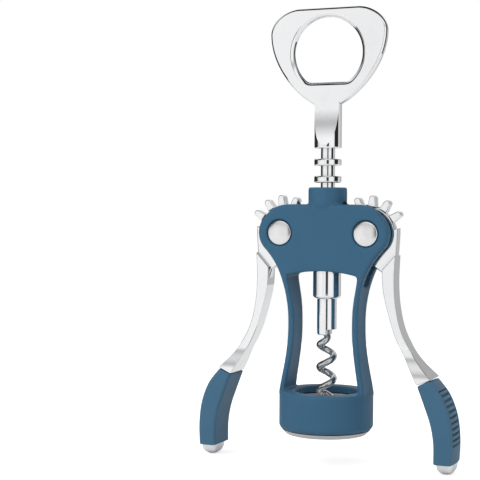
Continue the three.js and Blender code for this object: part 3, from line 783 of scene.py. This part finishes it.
def stem_ring(z, radius):
    flat = stem_r
    if z > scoop_foot:
        flat = plate_half_y + 0.02 + scoop_r - math.sqrt(scoop_r ** 2 - (scoop_top - z) ** 2)
    tilt = math.asin(min(0.9996, flat / radius))
    ring = []
    for face in (0, math.pi):
        for k in range(ROUND_POINTS):
            angle = face - tilt + 2 * tilt * k / ROUND_POINTS
            ring.append((radius * math.cos(angle), radius * math.sin(angle), z))
        reach = radius * math.cos(tilt) * math.cos(face)
        level = radius * math.sin(tilt) * math.cos(face)
        for k in range(FLAT_POINTS):
            ring.append((reach * (1 - 2 * k / FLAT_POINTS), level, z))
    return ring


stem_foot = [(121.0, 5.25), (121.08, 5.5), (121.25, 5.68), (121.5, 5.77), (121.8, 5.8)]
stem_rings = [stem_ring(z, radius) for z, radius in stem_foot]
stem_rings += [stem_ring(scoop_foot + (scoop_top - scoop_foot) * k / STEM_ROWS, stem_r)
               for k in range(STEM_ROWS + 1)]
stem = lofted("handle_stem", stem_rings, 25)
handle = joined("opener_handle_polished", handle_plate, stem)
dress(handle, chrome, "chrome", "spindle", "opener_handle")

# %% [markdown]
# ## Rack, sleeve and worm holder
# The rack is a shaft with rings in place of straight teeth, so the levers mesh with it
# however far the handle has been turned. One ring is turned on the lathe and repeated up
# the shaft. The lowest one is the flange that rests on the stop sleeve.

# %% Rack
rack_pitch, ring_r, ring_half, flange_z = 7.2, 5.8, 1.45, 71.9
ring_shape = lathed("ring_shape", [(2.7, -ring_half, 0), (ring_r, -ring_half, 0.75),
                                   (ring_r, ring_half, 0.75), (2.7, ring_half, 0),
                                   (2.7, -ring_half, 0)], 72)
rings = grown("rack_rings", steps_tree, Shape=ring_shape, Count=7,
              Start=Vector((0, 0, flange_z)) * MM, Step=Vector((0, 0, rack_pitch)) * MM,
              StartTurn=0.0, StepTurn=0.0, Material=chrome)
discard(ring_shape)
shaft = lathed("rack_shaft", [(0, 58.5, 0), (2.5, 58.5, 0.3), (2.5, 70.5, 0), (3, 70.5, 0),
                              (3, 127, 0.4), (0, 127, 0)], 64)
dress(joined("rack_polished", rings, shaft), chrome, "chrome", "spindle", "rack_spindle")

# %% [markdown]
# ### Sleeve and holder
# The sleeve slides with the rack and stops it against the head, while the holder turns
# inside it and grips the worm. Both are plain turned parts. The sleeve's foot has a large
# round edge, and the holder has a notch in its mouth where the worm's wire comes out.

# %% Sleeve and holder
sleeve_bore, sleeve_r, sleeve_bottom, sleeve_top, foot_r = 4.5, 5.95, 57.4, 70.15, 1.35
foot_line = arc((sleeve_r - foot_r, sleeve_bottom + foot_r), foot_r, -90, 0, 9)
sleeve_line = [(sleeve_bore, sleeve_bottom, 0)] + [(r, z, 0) for r, z in foot_line]
sleeve_line += [(sleeve_r, sleeve_top, 0.35), (sleeve_bore, sleeve_top, 0),
                (sleeve_bore, sleeve_bottom, 0)]
sleeve = lathed("stop_sleeve_polished", sleeve_line, 96, 7)
dress(sleeve, chrome, "chrome", "slider", "stop_sleeve")
holder = lathed("worm_holder_polished", [(0, 41.9, 0), (4.15, 41.9, 0.7), (4.15, 70.1, 0),
                                         (0, 70.1, 0)])
mouth = lofted("mouth", [[(0.9, -6, z), (9, -6, z), (9, 6, z), (0.9, 6, z)] for z in (39, 44.4)])
carved(holder, mouth)
holder.data.set_sharp_from_angle(angle=math.radians(35))
dress(holder, chrome, "chrome", "spindle", "worm_holder")

# %% [markdown]
# ## Worm
# The worm is one wire: straight where it is held, then a coil, drawn to a point at its end.
# The line is worked out here, with a share of full thickness stored on each of its points,
# and the wire tree sweeps a round section along it.

# %% Worm
coil_r, wire_r, pitch, turns, shank, worm_top = 3.0, 1.45, 9.6, 4.4, 8.0, 49.9
coil_length = pitch * turns
WORM_POINTS = 421
worm_line = []
for k in range(WORM_POINTS):
    drop = (shank + coil_length) * k / (WORM_POINTS - 1)
    coil = max(0.0, drop - shank)
    spread = coil_r * ease(coil, -0.6, 0.5 * pitch) if coil > 0 else 0.0
    angle = 2 * math.pi * coil / pitch
    worm_line.append((spread * math.cos(angle), -spread * math.sin(angle), worm_top - drop))
print("worm point at", tuple(round(value, 2) for value in worm_line[-1]))

# %% Wire with a drawn point
point_length, thinnest, point_power = 5.5, 0.08, 0.8
point_z = worm_line[-1][2]
shares = [max(thinnest, min(1.0, (z - point_z) / point_length)) ** point_power
          for x, y, z in worm_line]
worm = grown("worm_wire", wire_tree, worm_line, shares, Radius=wire_r * MM, Sides=24,
             Material=turned_steel)
worm.data.shade_smooth()
dress(worm, turned_steel, "steel", "spindle", "worm")

# %% [markdown]
# ## Levers
# Each lever is one forging: a thin gear that runs in the head's slot, a thicker bowed arm,
# and a rounded tip that shows below the grip. The gear's teeth are one tooth repeated round
# the pivot. The arm is a grid between its two long edges, flared at the foot, and a bevel
# gives it the crisp bright edges of a polished forging.

# %% Gear
hub_r, gear_half_y, pitch_r = 11.1, 2.4, 15.9
hub_line = arc((0, 0), hub_r, 11, 260, 83)
hub_line += [(5.6, -16), (7.3, -23.5), (11, -23.5), (12.4, 0), (12.4, 2.4)]
hub = full_plate("hub", hub_line, gear_half_y, 0.45)
tooth_tip_r, tooth_tip_z = 1.3, 14.7
tooth_line = [(-1.65, 11.3), (1.65, 11.3), (tooth_tip_r, tooth_tip_z)]
tooth_line += arc((0, tooth_tip_z), tooth_tip_r, 15, 165, 10) + [(-tooth_tip_r, tooth_tip_z)]
tooth_shape = full_plate("tooth_shape", tooth_line, gear_half_y, 0.35)
ring_below_pivot = 2.5
teeth = grown("teeth", steps_tree, Shape=tooth_shape, Count=7, Start=Vector((0, 0, 0)),
              Step=Vector((0, 0, 0)), StartTurn=-math.pi / 2 - ring_below_pivot / pitch_r,
              StepTurn=rack_pitch / pitch_r, Material=chrome)
discard(tooth_shape)
print("teeth stand", round(math.degrees(rack_pitch / pitch_r), 1), "degrees apart")

# %% [markdown]
# ### Arm
# The arm is forged: its inner and outer edges bow differently, and it thickens at the foot,
# where the grip begins. A loft follows both edges at once, with each section laid between
# them. A Bevel modifier then rounds the four long edges, with a profile near a chamfer.

# %% Arm
arm_inner = [(6.2, -15), (6.8, -23.5), (8.8, -32.2), (12.4, -43.2), (17.3, -52.6), (22.5, -61.6)]
arm_outer = [(11.9, -8.7), (11.5, -20), (12.3, -30.5), (15, -41), (21, -51.3), (28.2, -59.1)]
ARM_ROWS, ARM_COLUMNS = 72, 8


def arm_half_y(z):
    return 4 + 3.4 * (1 - ease(z, -61.5, -48))


arm_rings = []
for i in range(ARM_ROWS + 1):
    near = through(arm_inner, i / ARM_ROWS)
    far = through(arm_outer, i / ARM_ROWS)
    across = [near.lerp(far, k / ARM_COLUMNS) for k in range(ARM_COLUMNS + 1)]
    front = [(p.x, -arm_half_y(p.y), p.y) for p in across]
    back = [(p.x, arm_half_y(p.y), p.y) for p in reversed(across)]
    arm_rings.append(front + back)
arm = lofted("arm", arm_rings)
bevel = arm.modifiers.new("bevel", "BEVEL")
bevel.width = 1.15 * MM
bevel.segments = 4
bevel.profile = 0.28
bevel.limit_method = "ANGLE"
bevel.angle_limit = math.radians(50)
bevel.harden_normals = True
settle(arm)
print("arm:", len(arm.data.polygons), "faces after the bevel")


# %% [markdown]
# ### Tip
# Below the grip the bare metal shows again as a short rounded end. Its section lies between
# a box and an ellipse, which one formula with a power gives, and it shrinks as it falls.


# %% Tip below the grip
def soft_box_ring(centre_x, half_x, half_y, z, power, count=48):
    ring = []
    for k in range(count):
        angle = 2 * math.pi * k / count
        c, s = math.cos(angle), math.sin(angle)
        ring.append((centre_x + half_x * math.copysign(abs(c) ** (2 / power), c),
                     half_y * math.copysign(abs(s) ** (2 / power), s), z))
    return ring


tip_x, tip_top, tip_drop, tip_half_x, tip_half_y = 33.7, -92.6, 5.3, 3.7, 5.8
TIP_ROWS = 14
tip_rings = []
for k in range(TIP_ROWS + 1):
    fall = k / TIP_ROWS
    width = math.sqrt(1 - 0.86 * fall ** 3.2)
    tip_rings.append(soft_box_ring(tip_x, tip_half_x * width, tip_half_y * width,
                                   tip_top - tip_drop * fall, 4.2))
tip = lofted("tip", tip_rings, 40)
print("tip ends", round(min(ring[0][2] for ring in tip_rings), 1), "mm from the pivot")

# %% [markdown]
# ### A left and a right
# The two levers are the same forging turned half round, as on the real tool, and not mirror
# images. A half turn also keeps the faces pointing outwards, which a mirror would not.

# %% Both levers
to_pivot = Matrix.Translation((pivot_x * MM, 0, pivot_z * MM))
lever_right = moved(joined("lever_right_polished", hub, teeth, arm, tip), to_pivot)
lever_left = half_turn_copy(lever_right, "lever_left_polished")
dress(lever_right, chrome, "chrome", "right_lever", "lever_right")
dress(lever_left, chrome, "chrome", "left_lever", "lever_left")

# %% [markdown]
# ## Grips
# Each grip is rubber moulded over the lever's end: a soft rectangle that widens and bows,
# with a sunk pad on its outer side. Ten cross ribs fill the pad. The body is a loft whose
# outer side is pushed in where the pad is, and the ribs are one pill repeated along the pad.

# %% Body of the grip
grip_inner = [(22.5, -61.9), (25.6, -70), (28.2, -77.5), (29.5, -85), (29.6, -93.6)]
grip_outer = [(28.4, -59.4), (33.6, -66), (36.88, -74.5), (38.05, -84), (37.76, -93.6)]
grip_half_y, grip_round, pad_half_y, pad_depth = 7.7, 1.2, 5.7, 1.3
crown_depth = 0.8
pad_start, pad_end, GRIP_ROWS, PAD_COLUMNS = 0.165, 0.80, 170, 44


def straight(start, end, count):
    """Evenly spaced points, both ends included."""
    return [tuple(p + (q - p) * k / (count - 1) for p, q in zip(start, end)) for k in range(count)]


def grip_ring(t, inset):
    near, far = through(grip_inner, t), through(grip_outer, t)
    out = (far - near).normalized()
    middle, half = (near + far) / 2, (far - near).length / 2 - inset
    tall, corner = grip_half_y - inset, max(0.3, grip_round - 0.5 * inset)
    flat = tall - corner
    sides = []
    for y in [flat - 2 * flat * k / PAD_COLUMNS for k in range(PAD_COLUMNS + 1)]:
        crown = crown_depth * (y / grip_half_y) ** 2
        inside = ease(pad_half_y + 0.35 - abs(y), 0, 0.6)
        inside *= ease(t, pad_start - 0.008, pad_start + 0.012)
        inside *= 1 - ease(t, pad_end - 0.012, pad_end + 0.008)
        sides.append((half - crown - pad_depth * inside, y))
    outer = half - crown_depth * (flat / grip_half_y) ** 2 - corner
    inner = -half + corner
    sides += arc((outer, -flat), corner, -15, -75, 4)
    sides += straight((outer, -tall), (inner, -tall), 10)
    sides += arc((inner, -flat), corner, -105, -165, 4)
    sides += straight((-half, -flat), (-half, flat), 12)
    sides += arc((inner, flat), corner, -195, -255, 4)
    sides += straight((inner, tall), (outer, tall), 10)
    sides += arc((outer, flat), corner, -285, -345, 4)
    return [(middle.x + out.x * u, y, middle.y + out.y * u) for u, y in sides]


end_round, grip_length, END_ROWS = 0.9, 33.0, 5
grip_ends = []
for k in range(END_ROWS + 1):
    turn = math.pi / 2 * k / END_ROWS
    grip_ends.append((end_round * (1 - math.cos(turn)) / grip_length,
                      end_round * (1 - math.sin(turn))))
grip_rings = [grip_ring(share, inset) for share, inset in grip_ends]
grip_rings += [grip_ring(0.03 + 0.94 * k / GRIP_ROWS, 0) for k in range(GRIP_ROWS + 1)]
grip_rings += [grip_ring(1 - share, inset) for share, inset in reversed(grip_ends)]
grip = lofted("grip_body", grip_rings, 50)
print("grip body:", len(grip.data.polygons), "faces")

# %% [markdown]
# ### Ribs
# Ten ribs cross the pad so that a wet hand does not slip. They repeat along a curved line,
# which is what the line tree does: one rib, a count, and a line that each copy faces along.
# The rib is turned as a pill and bent back at its ends, like the grip's own crown.

# %% Ribs of the pad
rib_r, rib_half, rib_margin, rib_depth = 0.78, 5.4, 0.033, 0.95
rib_profile = [(0, -rib_half, 0), (rib_r, -rib_half, 0.76)]
rib_profile += [(rib_r, k * 0.9, 0) for k in range(-4, 5)]
rib_profile += [(rib_r, rib_half, 0.76), (0, rib_half, 0)]
rib_shape = moved(lathed("rib_shape", rib_profile, 16, 4), Matrix.Rotation(math.pi / 2, 4, "X"))
for vertex in rib_shape.data.vertices:
    vertex.co.x += crown_depth * MM * (vertex.co.y / (grip_half_y * MM)) ** 2
rib_line = []
for k in range(25):
    t = pad_start + rib_margin + (pad_end - pad_start - 2 * rib_margin) * k / 24
    near, far = through(grip_inner, t), through(grip_outer, t)
    spot = far - (far - near).normalized() * rib_depth
    rib_line.append((spot.x, 0, spot.y))
ribs = grown("grip_ribs", line_tree, rib_line, Shape=rib_shape, Count=10, Material=blue_rubber)
discard(rib_shape)
grip_right = moved(joined("grip_right_rubber", grip, ribs), to_pivot)
grip_left = half_turn_copy(grip_right, "grip_left_rubber")
dress(grip_right, blue_rubber, "blue_grip", "right_lever", "grip_right")
dress(grip_left, blue_rubber, "blue_grip", "left_lever", "grip_left")

# %% [markdown]
# ## Pivots
# A domed pin goes through the head and the gear on each side, and a cap closes it at the
# back. Both are turned, then laid along Y.

# %% Pins and caps
pin_r, pin_end, head_r = 3, -6.3, 5.2
head_seat, head_side, head_top_y, dome_rise = 6.35, 7.12, 8, 0.8
dome = [(head_r * (1 - k / 10), head_top_y - dome_rise * (1 - k / 10) ** 2, 0) for k in range(1, 11)]
cap_line = [(head_r, head_seat, 0.1), (head_r, head_side, 0.3)] + dome
pin_line = [(0, pin_end, 0), (pin_r, pin_end, 0.2), (pin_r, head_seat, 0)] + cap_line
for side, name in ((1, "right"), (-1, "left")):
    there = Matrix.Translation((side * pivot_x * MM, 0, pivot_z * MM))
    pin = lathed(f"pivot_pin_{name}_polished", pin_line, 72, 6)
    cap = lathed(f"pivot_cap_{name}_polished", [(0, head_seat, 0)] + cap_line, 72, 6)
    moved(pin, there @ Matrix.Rotation(math.pi / 2, 4, "X"))
    moved(cap, there @ Matrix.Rotation(-math.pi / 2, 4, "X"))
    dress(pin, satin_chrome, "chrome", "frame", f"pivot_pin_{name}")
    dress(cap, satin_chrome, "chrome", "frame", f"pivot_cap_{name}")

# %% [markdown]
# ## Small steel parts kept from the CAD
# The washers, cross pins and snap ring sit almost out of sight, and their CAD shapes are
# already right. They stay as they are and take the turned steel.

# %% Steel for the small parts
kept = ["snap_ring", "holder_pin", "worm_pin", "handle_pin", "washer_right_front",
        "washer_right_back", "washer_left_front", "washer_left_back"]
for name in kept:
    nodes[name].data.materials.clear()
    nodes[name].data.materials.append(turned_steel)
print(len(kept), "small steel parts keep their CAD shape")

# %% [markdown]
# ## Stage, light and camera
# The corkscrew stands on a pale sheet of paper in a white studio. The sheet ends half a metre
# away, so that upright polished parts reflect the studio's walls and not the paper.

# %% Floor
floor_z, floor_r, floor_thick = -12.9, 460, 2
floor = lathed("floor", [(0, floor_z - floor_thick, 0), (floor_r, floor_z - floor_thick, 0),
                         (floor_r, floor_z, 0), (0, floor_z, 0)], 128)
paper, tree, shader = new_finish("floor_paper", Roughness=0.9, Emission_Color=(1, 1, 1, 1))
grain = use_group(tree, grain_group, {"Fine": 800.0, "Slow": 6.0})
tree.links.new(blend_colour(tree, grain["Clouds"], (0.70, 0.70, 0.70, 1), (0.74, 0.74, 0.74, 1)),
               shader.inputs["Base Color"])
seen = place(tree, "ShaderNodeLightPath").outputs["Is Camera Ray"]
tree.links.new(calc(tree, "MULTIPLY", seen, 0.55), shader.inputs["Emission Strength"])
floor.data.materials.append(paper)
print("floor at", floor_z, "mm")

# %% [markdown]
# ### Surroundings
# Polished metal only shows what stands around it. The walls are given by direction alone, in
# a world shader: a colour ramp round the compass holds white walls and a few black panels,
# which draw dark lines down the chrome. Above stands a grey rail and then a white ceiling. A
# dark drape beside and above the object is there for reflections only, and outlines the
# polished edges without taking light from the blue parts. Behind the object all is white.

# %% Studio surroundings
view_azimuth = math.radians(20)
world = bpy.data.worlds.new("white_studio")
bpy.context.scene.world = world
world.use_nodes = True
tree = world.node_tree
tree.nodes.clear()
way = place(tree, "ShaderNodeTexCoord").outputs["Generated"]


def towards(direction):
    product = place(tree, "ShaderNodeVectorMath", {0: way, 1: direction}, operation="DOT_PRODUCT")
    return product.outputs["Value"]


near_side = towards((math.sin(view_azimuth), -math.cos(view_azimuth), 0))
right_side = towards((math.cos(view_azimuth), math.sin(view_azimuth), 0))
bearing = calc(tree, "DIVIDE", calc(tree, "ARCTAN2", right_side, near_side), 2 * math.pi)
bearing = calc(tree, "ADD", bearing, 0.5)
panels = place(tree, "ShaderNodeValToRGB", {"Fac": bearing})
stops = [(-180, 0.6), (-176, 0.5), (-170, 0.03), (-99, 0.03), (-93, 0.7), (-66, 0.95),
         (-48, 1.0), (-30, 0.86), (-20, 0.95), (-14, 1.0), (-11, 0.05), (6, 0.05), (9, 0.95),
         (40, 1.0), (54, 0.8), (57, 0.02), (92, 0.02), (97, 0.75), (125, 0.55), (152, 0.42),
         (164, 0.8), (180, 0.8)]
ramp = panels.color_ramp
while len(ramp.elements) < len(stops):
    ramp.elements.new(0.5)
for element, (degrees, level) in zip(ramp.elements, stops):
    element.position = (degrees + 180) / 360
    element.color = (level, level, level, 1)
height = towards((0, 0, 1))


def above(low, steepness):
    """Nought below a height, and one a little above it."""
    return calc(tree, "MULTIPLY", calc(tree, "SUBTRACT", height, low), steepness, clamp=True)


walls = blend_colour(tree, above(0.26, 7.0), panels.outputs[0], (0.55, 0.55, 0.55, 1))
walls = blend_colour(tree, above(0.44, 7.0), walls, (1, 1, 1, 1))
ray = place(tree, "ShaderNodeLightPath").outputs
from_side = calc(tree, "SUBTRACT", 0.5, calc(tree, "ABSOLUTE", near_side))
drape = calc(tree, "MULTIPLY", calc(tree, "MULTIPLY", from_side, 7.0, clamp=True), above(0.12, 6.0))
drape = calc(tree, "MULTIPLY", drape, ray["Is Glossy Ray"])
walls = blend_colour(tree, drape, walls, (0.03, 0.03, 0.03, 1))
studio = place(tree, "ShaderNodeBackground", {"Color": walls, "Strength": 0.98})
plain = place(tree, "ShaderNodeBackground", {"Color": (1, 1, 1, 1), "Strength": 1.0})
choice = place(tree, "ShaderNodeMixShader", {0: ray["Is Camera Ray"], 1: studio.outputs[0],
                                            2: plain.outputs[0]})
tree.links.new(choice.outputs[0], place(tree, "ShaderNodeOutputWorld").inputs["Surface"])
bpy.context.scene.view_settings.view_transform = "Standard"
print("studio walls with", len(stops), "stops")

# %% [markdown]
# ### Lamps
# Two large soft lamps give the blue parts their shape. They are hidden from reflections, so
# the chrome keeps the clean pattern of the walls.


# %% Soft lamps
def soft_lamp(name, place_at, size_m, watts):
    lamp = bpy.data.lights.new(name, "AREA")
    lamp.shape = "RECTANGLE"
    lamp.size, lamp.size_y = size_m
    lamp.energy = watts
    stand = bpy.data.objects.new(name, lamp)
    bpy.context.scene.collection.objects.link(stand)
    stand.location = place_at
    stand.rotation_euler = (Vector((0, 0, 0.09)) - stand.location).to_track_quat("-Z", "Y").to_euler()
    stand.visible_glossy = False


soft_lamp("key", (-0.75, -0.8, 0.7), (0.6, 0.8), 9)
soft_lamp("fill", (0.95, -0.35, 0.25), (0.4, 0.8), 2.4)
print("lamps:", [item.name for item in bpy.data.lights])

# %% [markdown]
# ### Camera
# The camera stands 20 degrees to the right of the front, a little above half height. It is
# turned off the object's axis by three small angles, each applied to its own three
# directions, which shows what a rotation matrix is: right, up and back, as columns.

# %% Camera
distance, eye_height = 0.553, 0.0999
yaw, pitch_down, roll = math.radians(3.85), math.radians(1.86), math.radians(0.3)
ahead = Vector((-math.sin(view_azimuth), math.cos(view_azimuth), 0))
right = Vector((math.cos(view_azimuth), math.sin(view_azimuth), 0))
up = Vector((0, 0, 1))
ahead, right = (math.cos(yaw) * ahead - math.sin(yaw) * right,
                math.cos(yaw) * right + math.sin(yaw) * ahead)
ahead, up = (math.cos(pitch_down) * ahead - math.sin(pitch_down) * up,
             math.cos(pitch_down) * up + math.sin(pitch_down) * ahead)
right, up = (math.cos(roll) * right + math.sin(roll) * up,
             math.cos(roll) * up - math.sin(roll) * right)
lens = bpy.data.cameras.new("camera")
lens.sensor_width = 36
lens.lens = 97.5
camera = bpy.data.objects.new("camera", lens)
bpy.context.scene.collection.objects.link(camera)
eye = Vector((distance * math.sin(view_azimuth), -distance * math.cos(view_azimuth), eye_height))
camera.matrix_world = Matrix.Translation(eye) @ Matrix((right, up, -ahead)).transposed().to_4x4()
bpy.context.scene.camera = camera
print("camera at", tuple(round(value, 3) for value in eye))
